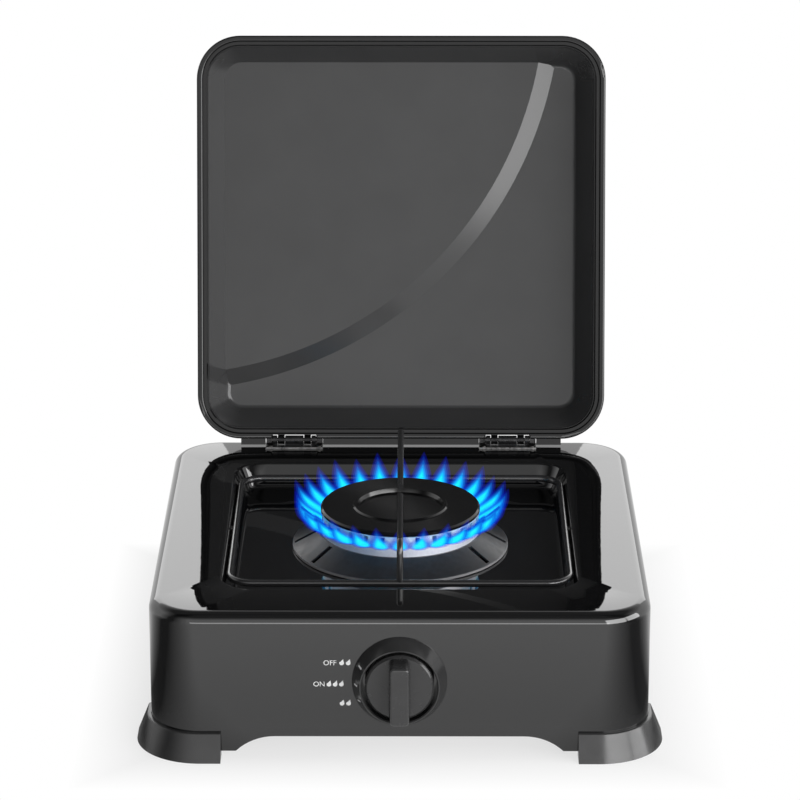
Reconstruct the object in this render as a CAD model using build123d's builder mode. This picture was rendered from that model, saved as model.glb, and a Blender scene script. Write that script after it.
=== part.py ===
from build123d import *
from math import atan2, cos, degrees, radians, sin, tan
import os

# Single-burner tabletop gas stove with a hinged lid, in millimetres, drawn with its lid open.
# +X is the cook's right, +Y the back, +Z up. The origin lies on the table under the middle of the
# open stove's box, so the body stands a little in front of it.

# Body shell: one drawn steel sheet, open below
body_width = 270.0
body_depth = 276.0
body_corner = 28.0
hob_height = 83.0
wall_clear = 4.0
sheet = 1.0
top_round = 6.5
arch_flat = 134.0
arch_run = 21.0
arch_rise = 8.6

# Well round the burner
well_width = 195.0
well_corner = 18.0
well_drop = 13.0
well_draft = 28.0
well_shift = -2.0
lip_round = 2.0
floor_round = 3.5

# Corner feet
foot_height = 15.0
foot_arm = 39.0
foot_flare = 8.0
foot_top_lap = 2.0
foot_lip = 3.0
foot_fit = 0.15
foot_edge = 1.0
foot_screw_radius = 1.6
foot_screw_head = 3.2
foot_screw_head_height = 1.8
foot_screw_rise = 9.5
foot_screw_bite = 3.0

# Pan support: a bent wire loop with two fingers
loop_wire = 2.0
loop_sink = 3.6
loop_length = 165.0
loop_end_gap = 10.88
loop_corner = 13.0
support_gap = 0.1
finger_wire = 1.75
post_wire = 1.6
finger_rise = 21.0
finger_gap = 14.0
finger_bend = 6.0
finger_tail = 18.0
stub_wire = 1.5
stub_fit = 0.4
stub_reach = 4.0

# Burner
cap_radius = 45.0
cap_rise = 11.0
cap_thick = 3.0
cap_edge = 1.0
cap_ring_radius = 27.0
cap_ring_width = 3.6
cap_ring_rise = 0.9
cap_dish = 1.2
cap_spigot = 3.0
crown_wall = 8.0
crown_batter = 1.0
crown_fit = 0.1
port_count = 28
port_width = 2.6
port_depth = 5.0
skirt_radius = 61.0
skirt_sheet = 1.2
skirt_rise = 8.0
skirt_hem = 1.4
skirt_clear = 0.4
skirt_slot_width = 3.2
skirt_slot_angles = (-3.0, -35.0)
bowl_wall = 3.0
bowl_depth = 12.0
bowl_flange = 9.0
bowl_flange_thick = 2.0
bowl_fit = 0.4
bowl_throat_wall = 3.0
bowl_throat_length = 2.2
burner_screw_radius = 1.5
burner_screw_head = 2.8
burner_screw_head_height = 1.6
burner_screw_length = 7.0
burner_screw_count = 3

# Mixing tube from the injector to the bowl
tube_radius = 10.0
tube_wall = 1.5
tube_bend = 11.0
tube_fit = 0.1
tube_cup_radius = 13.0
tube_cup_length = 20.0
tube_window = 9.0
tube_window_length = 12.0

# Valve behind the front wall
valve_drop = 38.25
valve_radius = 12.0
valve_length = 27.0
valve_end_wall = 4.0
cover_thick = 2.0
ear_length = 38.0
ear_width = 15.0
ear_thick = 3.0
ear_screw_pitch = 26.0
ear_screw_radius = 1.6
ear_screw_head = 3.0
ear_screw_head_height = 1.2
screw_fit = 0.05
plug_radius = 8.0
plug_batter = 1.4
plug_length = 14.0
plug_fit = 0.05
chamber_fit = 0.4
stem_radius = 4.0
stem_fit = 0.08
stem_flat = 3.0
collar_radius = 6.5
collar_thick = 1.8
collar_gap = 0.2
tail_radius = 3.0
tail_flat = 4.2
tail_length = 12.0
tail_fit = 0.06
socket_spare = 0.6
press_travel = 3.0
spring_wire = 0.6
spring_radius = 4.9
spring_turns = 3
spring_seat_gap = 0.05
gas_bore = 2.0
port_boss_radius = 6.5
port_boss_reach = 8.0

# Injector
injector_hex = 11.0
injector_hex_length = 5.0
injector_stem = 4.0
injector_stem_length = 3.0
injector_nose = 4.2
injector_nose_length = 9.0
injector_orifice = 0.6

# Knob and its ring
knob_radius = 18.5
knob_back_gap = 3.8
knob_face = 9.6
knob_reach = 22.8
knob_wall = 1.8
knob_hub = 7.0
knob_edge = 1.2
grip_width = 11.5
grip_length = 34.0
grip_edge = 1.2
knob_bore_depth = 10.0
ring_radius = 25.5
ring_front_radius = 21.4
ring_bore = 20.2
ring_rise = 9.4
ring_edge = 0.6

# Gas pipe and rear inlet
pipe_radius = 4.0
pipe_wall = 1.0
pipe_bend = 22.0
inlet_x = 84.0
socket_depth = 8.0
fitting_fit = 0.05
nut_hex = 17.0
nut_length = 10.0
nut_lap = 5.0
inlet_collar = 9.0
inlet_collar_length = 12.0
inlet_thread = 6.0
inlet_thread_length = 7.0
inlet_nut_thick = 5.0
inlet_spigot = 5.0
inlet_spigot_length = 24.0
inlet_bore = 2.5
spigot_tip = 1.0
wall_hole_fit = 0.3

# Lid: a drawn tray with a stepped panel
lid_width = 244.0
lid_length = 241.0
lid_corner = 26.0
lid_sheet = 1.0
lid_shallow = 23.4
lid_step = 4.6
lid_draft = 22.0
lid_panel_round = 4.0
rim_width = 3.6
rim_depth = 2.6
rim_front = 0.8
rim_round = 1.1
tray_inset = 4.4
drip_clear = 1.0
step_centre_left = 143.6
step_centre_above = 26.0
step_radius = 235.0
step_run = 10.0
lid_lean = 15.0

# Hinges
hinge_inset = 11.5
hinge_rise = 4.0
hinge_spacing = 128.0
hinge_width = 34.0
leaf_sheet = 1.0
leaf_front = 5.5
leaf_rear = 4.5
barrel_radius = 2.6
hinge_pin_radius = 1.2
pin_fit = 0.05
knuckle_centre = 11.0
knuckle_lid = 4.0
knuckle_end = 2.6
knuckle_gap = 0.4
lid_edge_gap = 0.6
notch_gap = 0.4
knuckle_web = 1.6
pin_head = 1.7
pin_head_length = 0.6
strap_sheet = 1.0
strap_gap = 0.1
strap_reach = 13.0
strap_root = 3.4
stop_sheet = 1.2
stop_gap = 0.2
stop_rise = 4.9
stop_width = 4.0
rivet_radius = 1.2
rivet_head = 2.0
rivet_head_height = 0.8
rivet_pitch = 29.0
rivet_set = 3.2
rivet_tail = 1.5

# Places worked out from the sizes above
lid_turn = radians(lid_lean)
deep = lid_shallow + lid_step
tray_draft = radians(lid_draft)
hinge_offset = body_depth / 2 - hinge_inset
rear_round_w = deep + lid_sheet - lid_panel_round
rear_round_v = lid_edge_gap + lid_length - tray_inset
rear_round_v -= (lid_panel_round + (rear_round_w + rim_front) * sin(tray_draft)) / cos(tray_draft)
rear_reach = hinge_offset + rear_round_v * sin(lid_turn) + rear_round_w * cos(lid_turn) + lid_panel_round
front_reach = body_depth / 2 + knob_reach
body_y = (front_reach - rear_reach) / 2
front_y = body_y - body_depth / 2
rear_y = body_y + body_depth / 2
well_y = body_y + well_shift
hinge_y = body_y + hinge_offset
hinge_z = hob_height + hinge_rise
valve_height = hob_height - valve_drop
slope = radians(well_draft)
well_length = loop_length + 2 * (loop_wire + loop_end_gap + loop_sink * sin(slope)) / cos(slope)


def level(height):
    """Horizontal plane over the middle of the body."""
    return Plane((0, body_y, height))


def burner_level(height):
    """Horizontal plane on the burner's axis, measured from the hob top."""
    return Plane((0, well_y, hob_height + height))


# Radial sections: local x runs outwards and local y runs along the axis, or the other way on the valve
burner_section = Plane((0, well_y, hob_height), x_dir=(1, 0, 0), z_dir=(0, -1, 0))
burner_side = Plane((0, well_y, hob_height), x_dir=(0, 1, 0), z_dir=(1, 0, 0))
burner_axis = Axis((0, well_y, 0), (0, 0, 1))
valve_section = Plane((0, front_y, valve_height), x_dir=(0, 1, 0), z_dir=(1, 0, 0))
valve_axis = Axis((0, front_y, valve_height), (0, 1, 0))
inlet_section = Plane((inlet_x, rear_y, valve_height), x_dir=(0, 1, 0), z_dir=(1, 0, 0))
inlet_axis = Axis((inlet_x, rear_y, valve_height), (0, 1, 0))
lid_plane = Plane((0, hinge_y, hinge_z), x_dir=(1, 0, 0), z_dir=(0, cos(lid_turn), -sin(lid_turn)))
lid_middle = lid_edge_gap + lid_length / 2


def valve_station(inwards):
    """Plane square to the valve's axis, a distance in from the front wall's face."""
    return Plane((0, front_y + inwards, valve_height), x_dir=(1, 0, 0), z_dir=(0, 1, 0))


def lid_level(outwards):
    """Plane along the lid, a distance out from its rim and centred on it."""
    middle = lid_plane.from_local_coords((0, -lid_middle, outwards))
    return Plane(middle, x_dir=(1, 0, 0), z_dir=lid_plane.z_dir)


# Well form, drawn once for its face and once for the underside of the sheet
def well_tool(grow):
    side = grow / cos(radians(well_draft))
    mouth = Plane((0, well_y, hob_height), x_dir=(1, 0, 0), z_dir=(0, 0, -1))
    with BuildPart() as form:
        with BuildSketch(mouth):
            RectangleRounded(well_width + 2 * side, well_length + 2 * side, well_corner + side)
        extrude(amount=well_drop + grow, taper=well_draft)
        fillet(form.faces().sort_by(Axis.Z)[0].edges(), floor_round + grow)
    return form.part


# Hollow under the sheet
with BuildPart() as cavity:
    with BuildSketch(level(0)):
        RectangleRounded(body_width - 2 * sheet, body_depth - 2 * sheet, body_corner - sheet)
    extrude(amount=hob_height - sheet)
    fillet(cavity.faces().sort_by(Axis.Z)[-1].edges(), top_round - sheet)
    add(well_tool(sheet), mode=Mode.SUBTRACT)


def arch_outline(plane):
    """Arched opening between two feet, with a tight corner at each foot and a flat top."""
    foot = arch_flat / 2 + arch_run
    with BuildSketch(plane) as opening:
        with BuildLine():
            Line((-foot, -wall_clear), (foot, -wall_clear))
            Line((foot, -wall_clear), (foot, 0))
            TangentArc((arch_flat / 2, arch_rise), (foot, 0), tangent=(1, 0))
            Line((-arch_flat / 2, arch_rise), (arch_flat / 2, arch_rise))
            TangentArc((-arch_flat / 2, arch_rise), (-foot, 0), tangent=(-1, 0))
            Line((-foot, 0), (-foot, -wall_clear))
        make_face()
    return opening.sketch


def foot_screw_plane(side_x, side_y, radius):
    """Plane square to a foot screw, at a radius from the corner's own centre."""
    corner = Vector(side_x * (body_width / 2 - body_corner), side_y * (body_depth / 2 - body_corner), 0)
    out = Vector(side_x, side_y, 0).normalized()
    place = corner + out * radius + Vector(0, body_y, foot_screw_rise)
    return Plane(place, x_dir=(0, 0, 1), z_dir=out)


bowl_radius = cap_radius - crown_wall + bowl_wall
stub_z = -loop_sink
with BuildPart() as body_shell:
    with BuildSketch(level(wall_clear)):
        RectangleRounded(body_width, body_depth, body_corner)
    extrude(amount=hob_height - wall_clear)
    fillet(body_shell.faces().sort_by(Axis.Z)[-1].edges(), top_round)
    add(well_tool(0), mode=Mode.SUBTRACT)
    lip = body_shell.faces().filter_by(Axis.Z).sort_by(Axis.Z)[-1].inner_wires()[0]
    fillet(lip.edges(), lip_round)
    add(cavity.part, mode=Mode.SUBTRACT)
    front_arch = arch_outline(Plane((0, body_y, wall_clear), x_dir=(1, 0, 0), z_dir=(0, -1, 0)))
    extrude(front_arch, amount=body_depth, both=True, mode=Mode.SUBTRACT)
    side_arch = arch_outline(Plane((0, body_y, wall_clear), x_dir=(0, 1, 0), z_dir=(1, 0, 0)))
    extrude(side_arch, amount=body_width, both=True, mode=Mode.SUBTRACT)
    # Burner hole and its screw holes in the well floor
    with BuildSketch(burner_level(0)):
        Circle(bowl_radius + bowl_fit)
        with PolarLocations(bowl_radius + bowl_flange / 2, burner_screw_count, 90):
            Circle(burner_screw_radius + screw_fit)
    extrude(amount=-well_drop - 2 * sheet, mode=Mode.SUBTRACT)
    # Stem hole and valve screw holes in the front wall
    with BuildSketch(valve_station(-sheet)):
        Circle(stem_radius + 2 * wall_hole_fit)
        with GridLocations(ear_screw_pitch, 0, 2, 1):
            Circle(ear_screw_radius + screw_fit)
    extrude(amount=3 * sheet, mode=Mode.SUBTRACT)
    # Gas inlet hole in the rear wall
    with BuildSketch(Plane((inlet_x, rear_y + sheet, valve_height), x_dir=(1, 0, 0), z_dir=(0, -1, 0))):
        Circle(inlet_thread + wall_hole_fit)
    extrude(amount=3 * sheet, mode=Mode.SUBTRACT)
    # Holes for the pan support's stubs in the well's side walls
    with BuildSketch(Plane((0, well_y, hob_height + stub_z), x_dir=(0, 1, 0), z_dir=(1, 0, 0))):
        Circle(stub_wire + stub_fit)
    extrude(amount=well_width / 2 + stub_reach + sheet, both=True, mode=Mode.SUBTRACT)
    # Hinge rivet holes in the top
    with BuildSketch(Plane((0, hinge_y - rivet_set, hob_height))):
        with GridLocations(hinge_spacing, 0, 2, 1):
            with GridLocations(rivet_pitch, 0, 2, 1):
                Circle(rivet_radius + screw_fit)
    extrude(amount=-2 * sheet, mode=Mode.SUBTRACT)
    # Foot screw holes through the corners
    for side_x in (-1, 1):
        for side_y in (-1, 1):
            with BuildSketch(foot_screw_plane(side_x, side_y, body_corner - 2 * sheet)):
                Circle(foot_screw_radius + screw_fit)
            extrude(amount=3 * sheet, mode=Mode.SUBTRACT)


def corner_foot(side_x, side_y):
    """Moulded corner shoe: a flared skirt outside the wall, a lip inside it and a groove between."""
    draft = degrees(atan2(foot_flare - foot_top_lap, foot_height))
    inner = body_corner - sheet - foot_fit
    with BuildPart() as foot:
        with BuildSketch(level(0)):
            flare = 2 * foot_flare
            RectangleRounded(body_width + flare, body_depth + flare, body_corner + foot_flare)
        extrude(amount=foot_height, taper=draft)
        fillet(foot.faces().sort_by(Axis.Z)[-1].edges(), foot_edge)
        # Groove for the wall's lower edge
        with BuildSketch(level(wall_clear)):
            RectangleRounded(body_width + 2 * foot_fit, body_depth + 2 * foot_fit, body_corner + foot_fit)
            slack = sheet + foot_fit
            RectangleRounded(body_width - 2 * slack, body_depth - 2 * slack, inner, mode=Mode.SUBTRACT)
        extrude(amount=foot_height, mode=Mode.SUBTRACT)
        # Open middle inside the lip
        with BuildSketch(level(0)):
            open_side = sheet + foot_fit + foot_lip
            RectangleRounded(body_width - 2 * open_side, body_depth - 2 * open_side, inner - foot_lip)
        extrude(amount=foot_height, mode=Mode.SUBTRACT)
        # Screw hole through the lip into the skirt
        with BuildSketch(foot_screw_plane(side_x, side_y, inner - 2 * foot_lip)):
            Circle(foot_screw_radius + screw_fit)
        extrude(amount=2 * foot_lip + slack + foot_screw_bite, mode=Mode.SUBTRACT)
        # One corner is kept
        with BuildSketch(Plane((side_x * body_width / 2, body_y + side_y * body_depth / 2, 0))):
            Rectangle(2 * foot_arm, 2 * foot_arm)
        extrude(amount=foot_height, mode=Mode.INTERSECT)
    return foot.part


foot_front_left = corner_foot(-1, -1)
foot_front_right = corner_foot(1, -1)
foot_rear_left = corner_foot(-1, 1)
foot_rear_right = corner_foot(1, 1)

# Foot screws: heads on the lips, driven outwards from inside
with BuildPart() as foot_screws:
    for side_x in (-1, 1):
        for side_y in (-1, 1):
            lip_radius = body_corner - sheet - foot_fit - foot_lip
            lip_face = (lip_radius**2 - foot_screw_head**2) ** 0.5
            with BuildSketch(foot_screw_plane(side_x, side_y, lip_face)):
                Circle(foot_screw_head)
            extrude(amount=-foot_screw_head_height)
            with BuildSketch(foot_screw_plane(side_x, side_y, lip_face)):
                Circle(foot_screw_radius)
            extrude(amount=body_corner + foot_screw_bite - lip_face - screw_fit)

# Pan support: the loop's long sides rest on the well's sloped walls
loop_half = well_width / 2 - (loop_wire + support_gap + loop_sink * sin(slope)) / cos(slope)
finger_root = loop_length / 2
with BuildPart() as pan_support:
    with BuildLine(burner_level(-loop_sink)) as loop_path:
        corners = [(-loop_half, -finger_root), (loop_half, -finger_root), (loop_half, finger_root)]
        corners.append((-loop_half, finger_root))
        FilletPolyline(*corners, radius=loop_corner, close=True)
    with BuildSketch(Plane(loop_path.line @ 0, z_dir=loop_path.line % 0)):
        Circle(loop_wire)
    sweep(path=loop_path.line)
    # Front finger rises from the loop and bends in over the burner
    wire_top = finger_rise - finger_wire
    with BuildLine(burner_side) as front_path:
        bends = [(-finger_root, -loop_sink), (-finger_root, wire_top), (-finger_gap / 2, wire_top)]
        FilletPolyline(*bends, radius=finger_bend)
    with BuildSketch(Plane(front_path.line @ 0, z_dir=front_path.line % 0)):
        Circle(finger_wire)
    sweep(path=front_path.line)
    # Rear finger runs on past its post
    with BuildLine(burner_side) as post_path:
        Line((finger_root, -loop_sink), (finger_root, wire_top))
    with BuildSketch(Plane(post_path.line @ 0, z_dir=post_path.line % 0)):
        Circle(post_wire)
    sweep(path=post_path.line)
    with BuildLine(burner_side) as rear_path:
        Line((finger_gap / 2, wire_top), (finger_root + finger_tail, wire_top))
    with BuildSketch(Plane(rear_path.line @ 0, z_dir=rear_path.line % 0)):
        Circle(finger_wire)
    sweep(path=rear_path.line)
    # Stubs that sit in the holes in the well's side walls
    for side in (-1, 1):
        stub_start = (side * loop_half, well_y, hob_height - loop_sink)
        with BuildSketch(Plane(stub_start, x_dir=(0, 1, 0), z_dir=(side, 0, 0))):
            Circle(stub_wire)
        extrude(amount=well_width / 2 - loop_half + stub_reach)

# Burner, from the bowl in the well floor up to the cap; heights are from the hob top
crown_top = cap_rise - cap_thick
crown_inner = cap_radius - crown_wall
seat = -well_drop + skirt_hem + skirt_clear + skirt_rise - skirt_sheet
bowl_bottom = -well_drop - bowl_depth
throat_bore = tube_radius + tube_fit
with BuildPart() as burner_bowl:
    with BuildSketch(burner_section):
        with BuildLine():
            throat_outer = throat_bore + bowl_throat_wall
            flange_radius = bowl_radius + bowl_flange
            Polyline(
                (throat_bore, bowl_bottom - bowl_throat_length),
                (throat_bore, bowl_bottom + bowl_wall),
                (crown_inner - 2 * bowl_wall, bowl_bottom + bowl_wall),
                (crown_inner, bowl_bottom + 3 * bowl_wall),
                (crown_inner, seat),
                (cap_radius, seat),
                (cap_radius, seat - bowl_flange_thick),
                (bowl_radius, seat - bowl_flange_thick),
                (bowl_radius, -well_drop + bowl_flange_thick),
                (flange_radius, -well_drop + bowl_flange_thick),
                (flange_radius, -well_drop),
                (bowl_radius, -well_drop),
                (bowl_radius, bowl_bottom + 2 * bowl_wall),
                (bowl_radius - 2 * bowl_wall, bowl_bottom),
                (throat_outer, bowl_bottom),
                (throat_outer, bowl_bottom - bowl_throat_length),
                close=True,
            )
        make_face()
    revolve(axis=burner_axis)
    with BuildSketch(burner_level(-well_drop)):
        with PolarLocations(bowl_radius + bowl_flange / 2, burner_screw_count, 90):
            Circle(burner_screw_radius + screw_fit)
    extrude(amount=bowl_flange_thick, mode=Mode.SUBTRACT)

# Screws that hold the bowl's flange on the well floor
with BuildPart() as burner_screws:
    flange_top = -well_drop + bowl_flange_thick
    with BuildSketch(burner_level(flange_top)):
        with PolarLocations(bowl_radius + bowl_flange / 2, burner_screw_count, 90):
            Circle(burner_screw_head)
    extrude(amount=burner_screw_head_height)
    with BuildSketch(burner_level(flange_top)):
        with PolarLocations(bowl_radius + bowl_flange / 2, burner_screw_count, 90):
            Circle(burner_screw_radius)
    extrude(amount=-burner_screw_length)

# Skirt: a pressed cone that hides the flange, with slots for secondary air
with BuildPart() as burner_skirt:
    with BuildSketch(burner_side):
        with BuildLine():
            rim_low = -well_drop + skirt_clear
            Polyline(
                (crown_inner, seat),
                (crown_inner, seat + skirt_sheet),
                (cap_radius + skirt_sheet, seat + skirt_sheet),
                (skirt_radius, rim_low + skirt_hem),
                (skirt_radius, rim_low),
                (skirt_radius - skirt_sheet, rim_low),
                (skirt_radius - skirt_sheet, rim_low + skirt_hem - skirt_sheet / 2),
                (cap_radius + skirt_sheet / 2, seat),
                close=True,
            )
        make_face()
    revolve(axis=burner_axis)
    with BuildSketch(burner_level(0)):
        for angle in skirt_slot_angles:
            for turn in (angle, 180 - angle):
                middle = (cap_radius + skirt_sheet + skirt_radius) / 2
                length = skirt_radius - cap_radius - 3 * skirt_sheet
                with Locations(Location((middle * cos(radians(turn)), middle * sin(radians(turn))), turn)):
                    Rectangle(length, skirt_slot_width)
    extrude(amount=-well_drop, mode=Mode.SUBTRACT)

# Crown: a ring with flame ports cut in its upper edge
with BuildPart() as burner_crown:
    crown_low = seat + skirt_sheet
    with BuildSketch(burner_section):
        with BuildLine():
            Polyline(
                (crown_inner, crown_low),
                (cap_radius, crown_low),
                (cap_radius - crown_batter, crown_top),
                (crown_inner, crown_top),
                close=True,
            )
        make_face()
    revolve(axis=burner_axis)
    with BuildSketch(burner_level(crown_top)):
        with PolarLocations(cap_radius - crown_wall / 2, port_count, 90):
            Rectangle(2 * crown_wall, port_width)
    extrude(amount=-port_depth, mode=Mode.SUBTRACT)

# Cap: a disc with a raised ring round a shallow dish, located by a spigot inside the crown
with BuildPart() as burner_cap:
    with BuildSketch(burner_section):
        with BuildLine():
            spigot = crown_inner - crown_fit
            ring_in = cap_ring_radius - cap_ring_width
            Polyline(
                (0, crown_top - cap_spigot + bowl_wall),
                (0, cap_rise - cap_dish),
                (ring_in, cap_rise - cap_dish),
                (ring_in + cap_ring_width / 4, cap_rise + cap_ring_rise),
                (cap_ring_radius - cap_ring_width / 4, cap_rise + cap_ring_rise),
                (cap_ring_radius, cap_rise),
                (cap_radius - cap_edge, cap_rise),
                (cap_radius, cap_rise - cap_edge),
                (cap_radius, crown_top),
                (spigot, crown_top),
                (spigot, crown_top - cap_spigot),
                (spigot - bowl_wall, crown_top - cap_spigot),
                (spigot - bowl_wall, crown_top - cap_spigot + bowl_wall),
                close=True,
            )
        make_face()
    revolve(axis=burner_axis)

# Valve stations, measured in from the front wall's face
valve_front = sheet + cover_thick
plug_front = valve_front + valve_length - valve_end_wall - plug_length
plug_rear = plug_front + plug_length
valve_rear = valve_front + valve_length
injector_front = valve_rear - injector_stem_length
tube_front = valve_rear + injector_hex_length

# Mixing tube: a cup with air windows round the injector, then a tube that bends up into the bowl
throat_top = hob_height + bowl_bottom + bowl_wall
with BuildPart() as mixing_tube:
    tube_end = front_y + tube_front
    with BuildLine(Plane((0, 0, 0), x_dir=(0, 1, 0), z_dir=(1, 0, 0))) as tube_path:
        run = [(tube_end + tube_cup_length, valve_height), (well_y, valve_height), (well_y, throat_top)]
        FilletPolyline(*run, radius=tube_bend)
    with BuildSketch(Plane(tube_path.line @ 0, z_dir=tube_path.line % 0)):
        Circle(tube_radius)
        Circle(tube_radius - tube_wall, mode=Mode.SUBTRACT)
    sweep(path=tube_path.line)
    with BuildSketch(valve_section):
        with BuildLine():
            Polyline(
                (tube_front, injector_nose + tube_fit),
                (tube_front, tube_cup_radius),
                (tube_front + tube_cup_length - tube_wall, tube_cup_radius),
                (tube_front + tube_cup_length, tube_radius),
                (tube_front + tube_cup_length, tube_radius - tube_wall),
                (tube_front + tube_cup_length - 2 * tube_wall, tube_cup_radius - tube_wall),
                (tube_front + tube_wall, tube_cup_radius - tube_wall),
                (tube_front + tube_wall, injector_nose + tube_fit),
                close=True,
            )
        make_face()
    revolve(axis=valve_axis)
    window = (0, tube_end + tube_cup_length / 2, valve_height)
    with BuildSketch(Plane(window, x_dir=(0, 1, 0), z_dir=(1, 0, 0))):
        SlotOverall(tube_window_length, tube_window)
    extrude(amount=2 * tube_cup_radius, both=True, mode=Mode.SUBTRACT)

# Injector: a hexagon screwed into the valve, with a nose in the tube's end
with BuildPart() as injector:
    with BuildSketch(valve_station(injector_front)):
        Circle(injector_stem)
    extrude(amount=injector_stem_length)
    with BuildSketch(valve_station(valve_rear)):
        RegularPolygon(injector_hex / 2, 6, major_radius=False)
    extrude(amount=injector_hex_length)
    with BuildSketch(valve_station(tube_front)):
        Circle(injector_nose)
    extrude(amount=injector_nose_length, taper=8)
    with BuildSketch(valve_station(injector_front)):
        Circle(injector_orifice)
    extrude(amount=injector_stem_length + injector_hex_length + injector_nose_length, mode=Mode.SUBTRACT)

# Valve body: a round casting with ears, a taper seat for the plug and a side boss for the gas pipe
boss_station = plug_rear - 1.5 * gas_bore
boss_end = valve_radius + port_boss_reach
with BuildPart() as valve_body:
    with BuildSketch(valve_station(valve_front)):
        Circle(valve_radius)
    extrude(amount=valve_length)
    with BuildSketch(valve_station(valve_front)):
        SlotOverall(ear_length, ear_width)
    extrude(amount=ear_thick)
    with BuildSketch(Plane((0, front_y + boss_station, valve_height), x_dir=(0, 1, 0), z_dir=(1, 0, 0))):
        Circle(port_boss_radius)
    extrude(amount=boss_end)
    with BuildSketch(valve_section):
        with BuildLine():
            Polyline(
                (valve_front, 0),
                (valve_front, plug_radius + chamber_fit),
                (plug_front, plug_radius + chamber_fit),
                (plug_front, plug_radius + plug_fit),
                (plug_rear + plug_fit, plug_radius - plug_batter + plug_fit),
                (plug_rear + plug_fit, gas_bore),
                (injector_front - screw_fit, gas_bore),
                (injector_front - screw_fit, injector_stem + screw_fit),
                (valve_rear, injector_stem + screw_fit),
                (valve_rear, 0),
                close=True,
            )
        make_face()
    revolve(axis=valve_axis, mode=Mode.SUBTRACT)
    with BuildSketch(Plane((0, front_y + boss_station, valve_height), x_dir=(0, 1, 0), z_dir=(1, 0, 0))):
        Circle(gas_bore)
    extrude(amount=boss_end, mode=Mode.SUBTRACT)
    with BuildSketch(valve_station(valve_front)):
        with GridLocations(ear_screw_pitch, 0, 2, 1):
            Circle(ear_screw_radius + screw_fit)
    extrude(amount=ear_thick, mode=Mode.SUBTRACT)

# Cover plate between the valve and the front wall
with BuildPart() as valve_cover:
    with BuildSketch(valve_station(sheet)):
        SlotOverall(ear_length, ear_width)
        Circle(valve_radius)
        Circle(stem_radius + stem_fit, mode=Mode.SUBTRACT)
        with GridLocations(ear_screw_pitch, 0, 2, 1):
            Circle(ear_screw_radius + screw_fit, mode=Mode.SUBTRACT)
    extrude(amount=cover_thick)

# Screws from the front, hidden under the knob
with BuildPart() as valve_screws:
    with BuildSketch(valve_station(-ear_screw_head_height)):
        with GridLocations(ear_screw_pitch, 0, 2, 1):
            Circle(ear_screw_head)
    extrude(amount=ear_screw_head_height)
    with BuildSketch(valve_station(0)):
        with GridLocations(ear_screw_pitch, 0, 2, 1):
            Circle(ear_screw_radius)
    extrude(amount=valve_front + ear_thick)

# Taper plug: turns in the valve and passes gas through its cross port
with BuildPart() as gas_plug:
    with BuildSketch(valve_section):
        with BuildLine():
            taper = [(plug_front, plug_radius), (plug_rear, plug_radius - plug_batter)]
            Polyline((plug_front, 0), *taper, (plug_rear, 0), close=True)
        make_face()
    revolve(axis=valve_axis)
    with BuildSketch(valve_station(plug_front)):
        Circle(tail_radius + tail_fit)
        Rectangle(tail_flat + 2 * tail_fit, 3 * tail_radius, mode=Mode.INTERSECT)
    tail_entry = tail_length - (plug_front - valve_front - collar_gap - collar_thick)
    socket = tail_entry + press_travel + socket_spare
    extrude(amount=socket, mode=Mode.SUBTRACT)
    with BuildSketch(Plane((0, front_y + boss_station, valve_height), x_dir=(0, 1, 0), z_dir=(1, 0, 0))):
        Circle(gas_bore)
    extrude(amount=plug_radius, mode=Mode.SUBTRACT)
    with BuildSketch(valve_station(boss_station)):
        Circle(gas_bore)
    extrude(amount=plug_length, mode=Mode.SUBTRACT)

# Stem: carries the knob, stops on the cover by its collar and drives the plug by its flats
collar_front = valve_front + collar_gap
collar_rear = collar_front + collar_thick
stem_front = -knob_face - knob_bore_depth + knob_back_gap
with BuildPart() as valve_stem:
    with BuildSketch(valve_station(stem_front)):
        Circle(stem_radius)
        with Locations((0, -stem_radius)):
            Rectangle(2 * stem_radius, 2 * (stem_radius - stem_flat), mode=Mode.SUBTRACT)
    extrude(amount=-knob_back_gap - stem_front)
    with BuildSketch(valve_station(-knob_back_gap)):
        Circle(stem_radius)
    extrude(amount=knob_back_gap + collar_front)
    with BuildSketch(valve_station(collar_front)):
        Circle(collar_radius)
    extrude(amount=collar_thick)
    with BuildSketch(valve_station(collar_rear)):
        Circle(tail_radius)
        Rectangle(tail_flat, 3 * tail_radius, mode=Mode.INTERSECT)
    extrude(amount=tail_length)

# Return spring between the stem's collar and the plug
spring_low = collar_rear + spring_wire + spring_seat_gap
spring_rise = plug_front - collar_rear - 2 * (spring_wire + spring_seat_gap)
spring_pitch = spring_rise / spring_turns
with BuildPart() as valve_spring:
    with BuildLine() as coil:
        coil_start = (0, front_y + spring_low, valve_height)
        Helix(spring_pitch, spring_rise, spring_radius, center=coil_start, direction=(0, 1, 0))
    with BuildSketch(Plane(coil.line @ 0, z_dir=coil.line % 0)):
        Circle(spring_wire)
    sweep(path=coil.line, is_frenet=True)

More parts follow.
